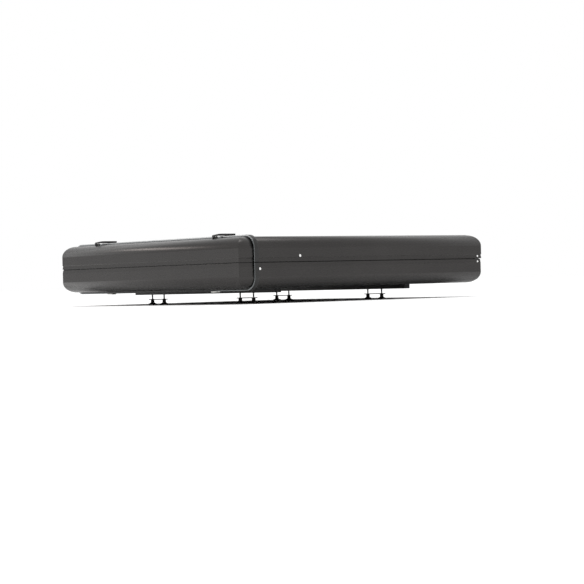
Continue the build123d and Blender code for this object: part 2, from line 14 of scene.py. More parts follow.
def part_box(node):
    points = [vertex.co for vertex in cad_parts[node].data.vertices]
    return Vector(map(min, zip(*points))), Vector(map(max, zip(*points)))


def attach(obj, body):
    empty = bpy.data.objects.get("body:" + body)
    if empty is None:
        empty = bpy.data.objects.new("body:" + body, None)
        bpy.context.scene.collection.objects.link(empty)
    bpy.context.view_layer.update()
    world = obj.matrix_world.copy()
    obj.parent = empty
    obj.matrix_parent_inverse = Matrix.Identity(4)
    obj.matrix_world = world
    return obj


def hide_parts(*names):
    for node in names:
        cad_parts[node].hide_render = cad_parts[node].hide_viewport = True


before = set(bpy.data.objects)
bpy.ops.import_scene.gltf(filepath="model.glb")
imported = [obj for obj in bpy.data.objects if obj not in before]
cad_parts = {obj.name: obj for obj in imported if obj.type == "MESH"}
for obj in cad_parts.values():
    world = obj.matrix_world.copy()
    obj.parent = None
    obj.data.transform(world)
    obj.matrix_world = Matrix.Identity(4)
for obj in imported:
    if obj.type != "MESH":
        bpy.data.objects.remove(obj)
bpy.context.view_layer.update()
LOG = logging.getLogger("roof_box")
MM = 0.001

Ring = list[Vector]
Colour = tuple[float, float, float]


class Side(Enum):
    """The two ends of the box along the car."""

    FRONT = "front"
    REAR = "rear"

    @property
    def sign(self) -> int:
        """-1 at the front and 1 at the rear."""
        return -1 if self is Side.FRONT else 1


class Grain(Enum):
    """The way that a metal's drawing lines run."""

    ALONG_X = (0.03, 1.0, 1.0)
    ALONG_Y = (1.0, 0.03, 1.0)
    NONE = (1.0, 1.0, 1.0)


# ---------------------------------------------------------------- node trees
class NodeSheet:
    """A material's node tree with short calls for the nodes that the finishes use."""

    def __init__(self, name: str) -> None:
        """Start a material with one Principled shader.

        Args:
            name: The material's name.
        """
        self.material = bpy.data.materials.new(name)
        self.material.use_nodes = True
        self.tree = self.material.node_tree
        self.shader = next(n for n in self.tree.nodes if n.type == "BSDF_PRINCIPLED")
        self.place = self.tree.nodes.new("ShaderNodeTexCoord").outputs["Object"]

    def constants(self, **values: float | Colour) -> None:
        """Set the shader's own sockets.

        Args:
            **values: Socket names, with underscores for spaces, and their values.
        """
        for key, value in values.items():
            socket = self.shader.inputs[key.replace("_", " ")]
            socket.default_value = (*value, 1.0) if isinstance(value, tuple) else value

    def link(self, source: bpy.types.NodeSocket, socket: str) -> None:
        """Feed one of the shader's sockets."""
        self.tree.links.new(source, self.shader.inputs[socket])

    def stretched(self, scale: Sequence[float]) -> bpy.types.NodeSocket:
        """Object coordinates scaled along each axis.

        Args:
            scale: Three factors.

        Returns:
            The scaled coordinates.
        """
        node = self.tree.nodes.new("ShaderNodeMapping")
        node.inputs["Scale"].default_value = scale
        self.tree.links.new(self.place, node.inputs["Vector"])
        return node.outputs["Vector"]

    def noise(self, per_metre: float, detail: float = 3.0, rough: float = 0.55,
              place: bpy.types.NodeSocket | None = None) -> bpy.types.NodeSocket:
        """Fractal noise.

        Args:
            per_metre: How fine it is.
            detail: Octaves.
            rough: Strength of the fine octaves.
            place: Coordinates, or None for the object's.

        Returns:
            The noise value.
        """
        node = self.tree.nodes.new("ShaderNodeTexNoise")
        node.inputs["Scale"].default_value = per_metre
        node.inputs["Detail"].default_value = detail
        node.inputs["Roughness"].default_value = rough
        self.tree.links.new(place or self.place, node.inputs["Vector"])
        return node.outputs["Fac"]

    def cells(self, per_metre: float, place: bpy.types.NodeSocket | None = None) -> bpy.types.NodeSocket:
        """Distance to the nearest of scattered cells."""
        node = self.tree.nodes.new("ShaderNodeTexVoronoi")
        node.inputs["Scale"].default_value = per_metre
        self.tree.links.new(place or self.place, node.inputs["Vector"])
        return node.outputs["Distance"]

    def spread(self, source: bpy.types.NodeSocket, low: float, high: float,
               start: float = 0.3, end: float = 0.7) -> bpy.types.NodeSocket:
        """Map a value's range start..end onto low..high.

        Args:
            source: The value.
            low: Result at start.
            high: Result at end.
            start: Where the range starts.
            end: Where it ends.

        Returns:
            The mapped value.
        """
        node = self.tree.nodes.new("ShaderNodeMapRange")
        for key, value in (("From Min", start), ("From Max", end), ("To Min", low), ("To Max", high)):
            node.inputs[key].default_value = value
        self.tree.links.new(source, node.inputs["Value"])
        return node.outputs["Result"]

    def blend(self, factor: bpy.types.NodeSocket, first: Colour, second: Colour) -> bpy.types.NodeSocket:
        """A colour between two, by a factor."""
        node = self.tree.nodes.new("ShaderNodeMix")
        node.data_type = "RGBA"
        self.tree.links.new(factor, node.inputs["Factor"])
        node.inputs["A"].default_value = (*first, 1.0)
        node.inputs["B"].default_value = (*second, 1.0)
        return node.outputs["Result"]

    def tint(self, colour: bpy.types.NodeSocket, factor: bpy.types.NodeSocket,
             over: Colour) -> bpy.types.NodeSocket:
        """A colour socket with another colour laid over it, by a factor."""
        node = self.tree.nodes.new("ShaderNodeMix")
        node.data_type = "RGBA"
        self.tree.links.new(factor, node.inputs["Factor"])
        self.tree.links.new(colour, node.inputs["A"])
        node.inputs["B"].default_value = (*over, 1.0)
        return node.outputs["Result"]

    def bump(self, height: bpy.types.NodeSocket, strength: float, depth: float,
             under: bpy.types.NodeSocket | None = None) -> bpy.types.NodeSocket:
        """Relief from a height.

        Args:
            height: The height value.
            strength: From 0 to 1.
            depth: Full height, in metres.
            under: The relief that this one lies on.

        Returns:
            The normal.
        """
        node = self.tree.nodes.new("ShaderNodeBump")
        node.inputs["Strength"].default_value = strength
        node.inputs["Distance"].default_value = depth
        self.tree.links.new(height, node.inputs["Height"])
        if under is not None:
            self.tree.links.new(under, node.inputs["Normal"])
        return node.outputs["Normal"]


# ---------------------------------------------------------------- finishes
class Finish:
    """A finish makes its material once and hands it out after that."""

    made: dict[str, bpy.types.Material] = {}
    name: str

    def paint(self, sheet: NodeSheet) -> None:
        """Fill the node tree."""
        raise NotImplementedError

    def material(self) -> bpy.types.Material:
        """The finish's material."""
        if self.name not in Finish.made:
            sheet = NodeSheet(self.name)
            self.paint(sheet)
            Finish.made[self.name] = sheet.material
        return Finish.made[self.name]


@dataclass(frozen=True)
class MetallicPaint(Finish):
    """Dark satin paint with a fine flake, over drawn metal."""

    name: str
    grain: Grain
    dark: Colour = (0.040, 0.0385, 0.0380)
    light: Colour = (0.068, 0.065, 0.064)
    dust: Colour = (0.085, 0.081, 0.078)

    def paint(self, sheet: NodeSheet) -> None:
        """Flake, drawing lines, orange peel and a thin film of dust."""
        lines = sheet.stretched(self.grain.value)
        flake = sheet.spread(sheet.noise(2600.0, 2.0), 0.0, 1.0, 0.42, 0.66)
        colour = sheet.blend(flake, self.dark, self.light)
        film = sheet.spread(sheet.noise(5.0, 6.0, 0.62), 0.0, 0.16, 0.45, 0.8)
        sheet.link(sheet.tint(colour, film, self.dust), "Base Color")
        drawn = sheet.noise(420.0, 3.0, 0.6, lines)
        sheet.link(sheet.spread(drawn, 0.24, 0.31), "Roughness")
        peel = sheet.bump(sheet.noise(300.0, 1.0), 0.10, 0.0002)
        sheet.link(sheet.bump(drawn, 0.10, 0.00012, peel), "Normal")
        sheet.constants(Metallic=0.97, Specular_IOR_Level=0.3)


@dataclass(frozen=True)
class BareMetal(Finish):
    """Plain metal: aluminium, zinc plate or ground steel."""

    name: str
    dull: Colour
    bright: Colour
    grain: Grain = Grain.NONE
    rough: tuple[float, float] = (0.22, 0.42)
    spot: float = 240.0
    metallic: float = 1.0

    def paint(self, sheet: NodeSheet) -> None:
        """Mottling, fine scratches and a little relief."""
        lines = sheet.stretched(self.grain.value)
        mottle = sheet.noise(self.spot, 4.0, 0.6)
        sheet.link(sheet.blend(mottle, self.dull, self.bright), "Base Color")
        scratch = sheet.noise(1800.0, 4.0, 0.65, lines)
        sheet.link(sheet.spread(scratch, *self.rough), "Roughness")
        sheet.link(sheet.bump(scratch, 0.12, 0.0001), "Normal")
        sheet.constants(Metallic=self.metallic)


@dataclass(frozen=True)
class PowderCoat(Finish):
    """Black powder coat or anodising with a fine grain."""

    name: str
    base: Colour = (0.008, 0.008, 0.0085)
    worn: Colour = (0.030, 0.030, 0.031)
    rough: tuple[float, float] = (0.34, 0.5)
    grain: Grain = Grain.NONE
    pebble: float = 1500.0
    metallic: float = 0.0

    def paint(self, sheet: NodeSheet) -> None:
        """Pebbled relief with paler rubbed patches."""
        lines = sheet.stretched(self.grain.value)
        rub = sheet.spread(sheet.noise(38.0, 6.0, 0.65, lines), 0.0, 1.0, 0.5, 0.8)
        sheet.link(sheet.blend(rub, self.base, self.worn), "Base Color")
        grit = sheet.noise(self.pebble, 2.0, 0.5, lines)
        sheet.link(sheet.spread(grit, *self.rough), "Roughness")
        sheet.link(sheet.bump(grit, 0.22, 0.0002), "Normal")
        sheet.constants(Metallic=self.metallic, Specular_IOR_Level=0.42)


@dataclass(frozen=True)
class Moulded(Finish):
    """Black moulded plastic or rubber with a sparked tool texture."""

    name: str
    base: Colour = (0.010, 0.010, 0.0105)
    pale: Colour = (0.022, 0.022, 0.022)
    rough: tuple[float, float] = (0.42, 0.6)
    texture: float = 1900.0
    relief: float = 0.3

    def paint(self, sheet: NodeSheet) -> None:
        """Fine cells with a bloom that varies slowly."""
        cells = sheet.cells(self.texture)
        bloom = sheet.spread(sheet.noise(60.0, 4.0), 0.0, 1.0, 0.4, 0.75)
        sheet.link(sheet.blend(bloom, self.base, self.pale), "Base Color")
        sheet.link(sheet.spread(cells, *self.rough, 0.0, 0.6), "Roughness")
        sheet.link(sheet.bump(cells, self.relief, 0.00025), "Normal")
        sheet.constants(Specular_IOR_Level=0.45)


@dataclass(frozen=True)
class NeedleFelt(Finish):
    """Charcoal needle felt with paler fibres."""

    name: str
    base: Colour = (0.018, 0.018, 0.020)
    fibre: Colour = (0.085, 0.085, 0.092)

    def paint(self, sheet: NodeSheet) -> None:
        """Two crossed layers of fibres over a lumpy ground."""
        one = sheet.noise(900.0, 3.0, 0.6, sheet.stretched((1.0, 0.18, 1.0)))
        two = sheet.noise(900.0, 3.0, 0.6, sheet.stretched((0.18, 1.0, 1.0)))
        fibres = sheet.spread(one, 0.0, 1.0, 0.46, 0.66)
        colour = sheet.blend(fibres, self.base, self.fibre)
        sheet.link(sheet.tint(colour, sheet.spread(two, 0.0, 0.7, 0.5, 0.68), self.fibre), "Base Color")
        lumps = sheet.bump(sheet.noise(70.0, 4.0), 0.35, 0.0012)
        sheet.link(sheet.bump(one, 0.6, 0.0006, sheet.bump(two, 0.5, 0.0006, lumps)), "Normal")
        sheet.constants(Roughness=0.95, Sheen_Weight=0.35, Sheen_Roughness=0.5, Specular_IOR_Level=0.2)


PAINT_X = MetallicPaint("satin_paint_across", Grain.ALONG_X)
PAINT_Y = MetallicPaint("satin_paint_along", Grain.ALONG_Y)
PAINT_SHEET = MetallicPaint("satin_paint_sheet", Grain.NONE)
HOOP_PAINT = MetallicPaint("hoop_paint", Grain.ALONG_Y, (0.035, 0.035, 0.035), (0.06, 0.06, 0.06))
EDGE_METAL = BareMetal("bright_edge", (0.20, 0.215, 0.22), (0.30, 0.315, 0.32), Grain.ALONG_Y, (0.24, 0.4))
ZINC = BareMetal("zinc_plate", (0.52, 0.52, 0.50), (0.80, 0.80, 0.77))
POLISHED = BareMetal("polished_heads", (0.86, 0.86, 0.85), (0.97, 0.97, 0.96), rough=(0.16, 0.28), metallic=0.8)
GROUND_STEEL = BareMetal("ground_rod", (0.66, 0.66, 0.67), (0.80, 0.80, 0.81), Grain.ALONG_X, (0.06, 0.16),
                         spot=90.0)
STRAP_BLACK = PowderCoat("strap_powder_coat")
RAIL_BLACK = PowderCoat("rail_anodised", (0.005, 0.005, 0.005), (0.014, 0.014, 0.014), (0.34, 0.46),
                        Grain.ALONG_Y, 900.0, 0.1)
SPRING_BLACK = PowderCoat("spring_gloss", (0.006, 0.006, 0.006), (0.012, 0.012, 0.012), (0.10, 0.18))
PLASTIC = Moulded("moulded_black")
RUBBER = Moulded("seal_rubber", (0.006, 0.006, 0.006), (0.014, 0.014, 0.014), (0.6, 0.8), 1300.0, 0.18)
FELT = NeedleFelt("floor_needle_felt")


# ---------------------------------------------------------------- meshes
class Maker:
    """Turns rings of points into meshes."""

    @staticmethod
    def piece(name: str, points: Iterable[Sequence[float]], faces: Iterable[Sequence[int]],
              smooth: float = 35.0) -> bpy.types.Object:
        """A mesh object with smooth faces and sharp edges where they turn by more than an angle.

        Args:
            name: The object's name.
            points: Vertices in the row frame, in metres.
            faces: Faces as vertex indices.
            smooth: Largest angle between smooth faces, in degrees.

        Returns:
            The object, linked to the scene.
        """
        mesh = bpy.data.meshes.new(name)
        mesh.from_pydata([tuple(p) for p in points], [], [tuple(f) for f in faces])
        mesh.validate()
        mesh.polygons.foreach_set("use_smooth", [True] * len(mesh.polygons))
        mesh.set_sharp_from_angle(angle=math.radians(smooth))
        mesh.update()
        made = bpy.data.objects.new(name, mesh)
        bpy.context.scene.collection.objects.link(made)
        return made

    @staticmethod
    def loft(rings: Sequence[Ring], closed: bool = False) -> tuple[list[Vector], list[tuple[int, ...]]]:
        """Skin a row of rings that all have the same number of points.

        Args:
            rings: The rings, in order.
            closed: True where the last ring meets the first; otherwise both ends get caps.

        Returns:
            Points and faces.
        """
        count = len(rings[0])
        points = [p for ring in rings for p in ring]
        faces: list[tuple[int, ...]] = []
        last = len(rings) if closed else len(rings) - 1
        for row in range(last):
            near, far = row * count, (row + 1) % len(rings) * count
            for i in range(count):
                j = (i + 1) % count
                faces.append((near + i, near + j, far + j, far + i))
        if not closed:
            faces.append(tuple(reversed(range(count))))
            faces.append(tuple(range(len(points) - count, len(points))))
        return points, faces

    @staticmethod
    def joined(parts: Sequence[tuple[list[Vector], list[tuple[int, ...]]]]
               ) -> tuple[list[Vector], list[tuple[int, ...]]]:
        """Put several skins into one list of points and faces."""
        points: list[Vector] = []
        faces: list[tuple[int, ...]] = []
        for some_points, some_faces in parts:
            faces += [tuple(i + len(points) for i in face) for face in some_faces]
            points += some_points
        return points, faces

    @staticmethod
    def turned(profile: Sequence[tuple[float, float, bool]], centre: Vector, along: Vector,
               steps: int = 36) -> tuple[list[Vector], list[tuple[int, ...]]]:
        """Turn a profile about an axis; a row may be six-sided, as in a key socket.

        Args:
            profile: Rows of height along the axis, radius, and whether the row is six-sided.
            centre: Where height is zero.
            along: The axis.
            steps: Points round the axis.

        Returns:
            Points and faces.
        """
        turn = along.to_track_quat("Z", "Y").to_matrix()

        def reach(angle: float, radius: float, hexagonal: bool) -> float:
            """Distance from the axis to a round or six-sided outline.

            Args:
                angle: Where on the outline.
                radius: The round's radius, or half the hexagon's width over its flats.
                hexagonal: True for six sides.

            Returns:
                The distance.
            """
            if not hexagonal:
                return radius
            off = (angle + math.pi / 6) % (math.pi / 3) - math.pi / 6
            return radius / math.cos(off)

        rings = []
        for height, radius, hexagonal in profile:
            ring = []
            for step in range(steps):
                angle = 2 * math.pi * step / steps
                r = reach(angle, radius, hexagonal)
                ring.append(centre + turn @ Vector((r * math.cos(angle), r * math.sin(angle), height)))
            rings.append(ring)
        return Maker.loft(rings)


def socket_head(radius: float, rise: float, root: float, key: float) -> list[tuple[float, float, bool]]:
    """Profile of a domed screw head with a six-sided socket, from the socket's floor outwards to the root.

    Args:
        radius: Head radius, in metres.
        rise: Head height above its seat.
        root: Height where the profile ends, below the seat.
        key: Half the socket's width.

    Returns:
        Rows for Maker.turned, height first.
    """
    rows = [(rise * 0.25, key * 0.05, False), (rise * 0.25, key, True), (rise * 0.93, key, True),
            (rise * 0.98, key * 1.22, False)]
    for step in range(1, 7):
        angle = math.pi / 2 * step / 6
        r = key * 1.22 + (radius - key * 1.22) * math.sin(angle)
        rows.append((rise * (0.25 + 0.75 * math.cos(angle)), r, False))
    rows.append((0.0, radius, False))
    rows.append((root, radius, False))
    return rows


@dataclass
class SubAssembly:
    """One group of pieces: it dresses its frame nodes and adds the pieces that the frame lacks."""

    def dress(self, names: Iterable[str], finish: Finish, edge: float = 0.0) -> None:
        """Give frame nodes a finish and, where asked, softened edges.

        Args:
            names: The nodes.
            finish: Their finish.
            edge: Width of the softened edge, in metres.
        """
        for name in names:
            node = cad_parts[name]
            node.data.materials.clear()
            node.data.materials.append(finish.material())
            if edge:
                weld = node.modifiers.new("weld", "WELD")
                weld.merge_threshold = 1e-6
                bevel = node.modifiers.new("edges", "BEVEL")
                bevel.width = edge
                bevel.segments = 2
                bevel.limit_method = "ANGLE"
                bevel.angle_limit = math.radians(40)
                bevel.harden_normals = True
                bevel.use_clamp_overlap = True
            LOG.info("node %s wears %s", name, finish.name)

    def add(self, piece: bpy.types.Object, body: str, slot: str, finish: Finish,
            stands_for: Sequence[str] = ()) -> bpy.types.Object:
        """Finish a new piece and let it ride.

        Args:
            piece: The mesh.
            body: The body that it moves with.
            slot: The record's material slot; not used.
            finish: Its finish.
            stands_for: Frame nodes that it takes the place of.

        Returns:
            The piece.
        """
        piece.data.materials.clear()
        piece.data.materials.append(finish.material())
        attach(piece, body)
        if stands_for:
            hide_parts(*stands_for)
        LOG.info("piece %s rides on %s", piece.name, body)
        return piece

    def build(self) -> None:
        """Make and dress everything in the group."""
        raise NotImplementedError


# ---------------------------------------------------------------- the shell
@dataclass
class Shell(SubAssembly):
    """Walls, spine, sheets and the beads of sealant round the sheets."""

    edge: float = 0.9 * MM
    bead_width: float = 5.0 * MM
    bead_rise: float = 0.9 * MM
    arc_steps: int = 6

    def bead(self, name: str, sheet: str, up: bool, body: str) -> None:
        """A low rounded bead of sealant over a sheet's outer joint.

        Args:
            name: The piece's name.
            sheet: The sheet node.
            up: True on the lid, False under the floor.
            body: The body that it rides on.
        """
        low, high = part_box(sheet)
        level = high.z if up else low.z
        out = 1 if up else -1
        corners = [(low.x, low.y), (high.x, low.y), (high.x, high.y), (low.x, high.y)]
        rings = []
        for step in range(self.arc_steps + 1):
            angle = math.pi * step / self.arc_steps
            shift = math.cos(angle) * self.bead_width / 2
            rise = math.sin(angle) * self.bead_rise
            ring = []
            for x, y in corners:
                sx, sy = math.copysign(1, x), math.copysign(1, y)
                ring.append(Vector((x + sx * shift, y + sy * shift, level + out * rise)))
            rings.append(ring)
        rings.append([Vector((p.x, p.y, level - out * 0.4 * MM)) for p in rings[-1]])
        rings.append([Vector((p.x, p.y, level - out * 0.4 * MM)) for p in rings[0]])
        points, faces = Maker.loft(rings, closed=True)
        self.add(Maker.piece(name, points, faces, 60), body, "seal_rubber", RUBBER)

    def build(self) -> None:
        """Paint the walls with the grain along each of them."""
        across = ["base_wall_front", "base_wall_rear", "lid_wall_front", "lid_wall_rear"]
        self.dress(across, PAINT_X, self.edge)
        self.dress(["base_wall_left", "base_wall_right", "lid_wall_right", "spine_wall"], PAINT_Y, self.edge)
        self.dress(["spine_end_front", "spine_end_rear"], PAINT_X, self.edge)
        self.dress(["lid_panel", "floor_panel"], PAINT_SHEET)
        self.dress(["spine_strip", "hinge_seal"], RUBBER)
        self.bead("lid_sheet_bead", "lid_panel", True, "lid")
        self.bead("floor_sheet_bead", "floor_panel", False, "base")


@dataclass
class Hoop(SubAssembly):
    """The raised hoop and the bright trim along its hinge-side edge."""

    trim: float = 0.9 * MM
    inset: float = 0.6 * MM
    rise: float = 6.0 * MM
    rise_low: float = 3.2 * MM
    corner: float = 59.0 * MM
    steps: int = 14

    def outline(self, node: str, up: bool) -> list[tuple[Vector, Vector]]:
        """Points and outward directions along the hoop's outer edge, from front to rear.

        Args:
            node: The hoop node.
            up: True for the upper half.

        Returns:
            Pairs of point and unit outward direction, in the plane of the hoop's left side.
        """
        low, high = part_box(node)
        out = 1 if up else -1
        seam, far = (low.z, high.z) if up else (high.z, low.z)
        path = [(Vector((low.x, low.y, seam)), Vector((0, -1, 0)))]
        for end, start_angle in ((low.y + self.corner, math.pi), (high.y - self.corner, math.pi / 2)):
            for step in range(self.steps + 1):
                angle = start_angle - math.pi / 2 * step / self.steps
                away = Vector((0, math.cos(angle), out * math.sin(angle)))
                centre = Vector((low.x, end, far - out * self.corner))
                path.append((centre + away * self.corner, away))
        path.append((Vector((low.x, high.y, seam)), Vector((0, 1, 0))))
        return path

    def edge_trim(self, name: str, path: Sequence[tuple[Vector, Vector]], body: str) -> None:
        """A thin bright strip with a rounded lip on the hoop's left side.

        Args:
            name: The piece's name.
            path: Points and outward directions.
            body: The body that it rides on.
        """
        left = Vector((-self.trim, 0, 0))
        rings = []
        for point, away in path:
            lying = abs(away.z) > 0.99 and away.z < 0
            top = point - away * self.inset
            foot = point - away * ((self.rise_low if lying else self.rise) - 0.2 * MM)
            lip = away * 0.35 * MM
            rings.append([foot, foot + left, top + left - lip, top + left * 0.6, top])
        points, faces = Maker.loft(rings)
        self.add(Maker.piece(name, points, faces, 50), body, "hoop_metal", EDGE_METAL)

    def lower_trims(self) -> None:
        """The base's two trims: each runs from the seam round the corner to its clip."""
        path = self.outline("base_band", False)
        clips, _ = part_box("band_clips")
        half = len(path) // 2
        front = [*path[:half], (Vector((path[0][0].x, clips.y, path[half - 1][0].z)), Vector((0, 0, -1)))]
        rear = [(Vector((p.x, -p.y, p.z)), Vector((a.x, -a.y, a.z))) for p, a in reversed(front)]
        self.edge_trim("hoop_trim_lower_front", front, "base")
        self.edge_trim("hoop_trim_lower_rear", rear, "base")

    def build(self) -> None:
        """Paint both halves and lay their trims."""
        self.dress(["lid_hoop", "base_band"], HOOP_PAINT, 0.8 * MM)
        self.dress(["band_clips"], ZINC, 0.6 * MM)
        self.edge_trim("hoop_trim_upper", self.outline("lid_hoop", True), "lid")
        self.lower_trims()


@dataclass
class StrapHinges(SubAssembly):
    """The two black strap hinges with their screws."""

    head_radius: float = 4.5 * MM
    head_rise: float = 2.4 * MM
    shank_radius: float = 2.5 * MM
    key: float = 1.5 * MM

    def screws(self) -> None:
        """Domed socket screws in the straps' feet."""
        low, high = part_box("strap_screws")
        seat = high.z - self.head_rise
        parts = []
        for side in Side:
            lo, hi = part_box(f"hinge_strap_{side.value}")
            middle = (lo.y + hi.y) / 2
            back = low.x + self.head_radius
            front = high.x - self.head_radius
            for x, dy in ((back, -6.5 * MM), (back, 6.5 * MM), (front, 0.0)):
                rows = socket_head(self.head_radius, self.head_rise, 0.0, self.key)
                rows += [(-0.01 * MM, self.shank_radius, False), (low.z - seat, self.shank_radius, False)]
                parts.append(Maker.turned(rows, Vector((x, middle + dy, seat)), Vector((0, 0, 1))))
        points, faces = Maker.joined(parts)
        screws = Maker.piece("strap_socket_screws", points, faces)
        self.add(screws, "lid", "plated_steel", ZINC, ["strap_screws"])

    def build(self) -> None:
        """Dress straps, leaves and pins, and set the screws."""
        self.dress([f"hinge_strap_{s.value}" for s in Side], STRAP_BLACK, 0.7 * MM)
        self.dress([f"hinge_leaf_{s.value}" for s in Side], STRAP_BLACK, 0.5 * MM)
        self.dress(["hinge_pins"], ZINC)
        self.screws()


@dataclass
class WallBolts(SubAssembly):
    """Domed bolts through the front and rear walls, with what stands on their inner ends."""

    key: float = 2.0 * MM
    stud_radius: float = 4.0 * MM
    spacer_radius: float = 7.0 * MM
    cap_radius: float = 6.0 * MM

    def build_set(self, node: str, name: str, body: str, rise: float,
                  inner: Sequence[tuple[float, float]]) -> None:
        """Turn the front and rear bolt of one node.

        Args:
            node: The node that they stand for.
            name: The piece's name.
            body: The body that it rides on.
            rise: Head height over the wall's face.
            inner: Rows of depth below the face and radius, for the shank and what is on it.
        """
        low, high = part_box(node)
        radius = self.heads[node]
        x = (low.x + high.x) / 2
        z = (low.z + high.z) / 2
        parts = []
        for side in Side:
            face = high.y - rise if side is Side.REAR else low.y + rise
            rows = socket_head(radius, rise, 0.0, self.key)
            rows += [(-depth, r, False) for depth, r in inner]
            parts.append(Maker.turned(rows, Vector((x, face, z)), Vector((0, side.sign, 0))))
        points, faces = Maker.joined(parts)
        self.add(Maker.piece(name, points, faces), body, "plated_steel", POLISHED, [node])

    heads = {"strut_studs_base": 5.5 * MM, "strut_studs_lid": 5.5 * MM,
             "corner_bolts_base": 4.5 * MM, "corner_bolts_lid": 4.5 * MM}

    def build(self) -> None:
        """Set the gas springs' studs and the corner bolts."""
        tiny = 0.01 * MM
        wall, eye_near, eye_far, cap = 50 * MM, 59.5 * MM, 72.5 * MM, 75 * MM
        stud = [(tiny, self.stud_radius), (wall, self.stud_radius), (wall + tiny, self.spacer_radius),
                (eye_near, self.spacer_radius), (eye_near + tiny, self.stud_radius),
                (eye_far, self.stud_radius),
                (eye_far + tiny, self.cap_radius), (cap, self.cap_radius)]
        self.build_set("strut_studs_base", "spring_studs_lower", "base", 2.2 * MM, stud)
        self.build_set("strut_studs_lid", "spring_studs_upper", "lid", 2.2 * MM, stud)
        corner = [(6 * MM, 4.5 * MM), (6.01 * MM, 3 * MM), (22 * MM, 3 * MM)]
        self.build_set("corner_bolts_base", "corner_screws_lower", "base", 1.8 * MM, corner)
        self.build_set("corner_bolts_lid", "corner_screws_upper", "lid", 1.8 * MM, corner)


@dataclass
class GasSprings(SubAssembly):
    """Cylinders and rods."""

    def build(self) -> None:
        """Dress both springs."""
        for side in Side:
            self.dress([f"strut_cylinder_{side.value}"], SPRING_BLACK, 0.5 * MM)
            self.dress([f"strut_rod_{side.value}"], GROUND_STEEL, 0.4 * MM)


@dataclass
class Lock(SubAssembly):
    """Dish, handle, key barrel, bar, bearings and strikers."""

    def build(self) -> None:
        """Dress the lock's pieces."""
        self.dress(["lock_dish"], PLASTIC, 0.5 * MM)
        self.dress(["lock_handle"], STRAP_BLACK, 0.8 * MM)
        self.dress(["key_barrel"], GROUND_STEEL, 0.3 * MM)
        self.dress(["lock_bar"], ZINC, 0.5 * MM)
        self.dress(["lock_bearings"], PLASTIC, 0.8 * MM)
        self.dress(["lock_strikers"], STRAP_BLACK, 0.5 * MM)


@dataclass
class Rails(SubAssembly):
    """Roof rails with their caps and bolts."""

    def build(self) -> None:
        """Dress the rails."""
        self.dress(["rail_left", "rail_right"], RAIL_BLACK, 0.5 * MM)
        self.dress(["rail_caps"], PLASTIC, 1.0 * MM)
        self.dress(["rail_bolts"], ZINC)


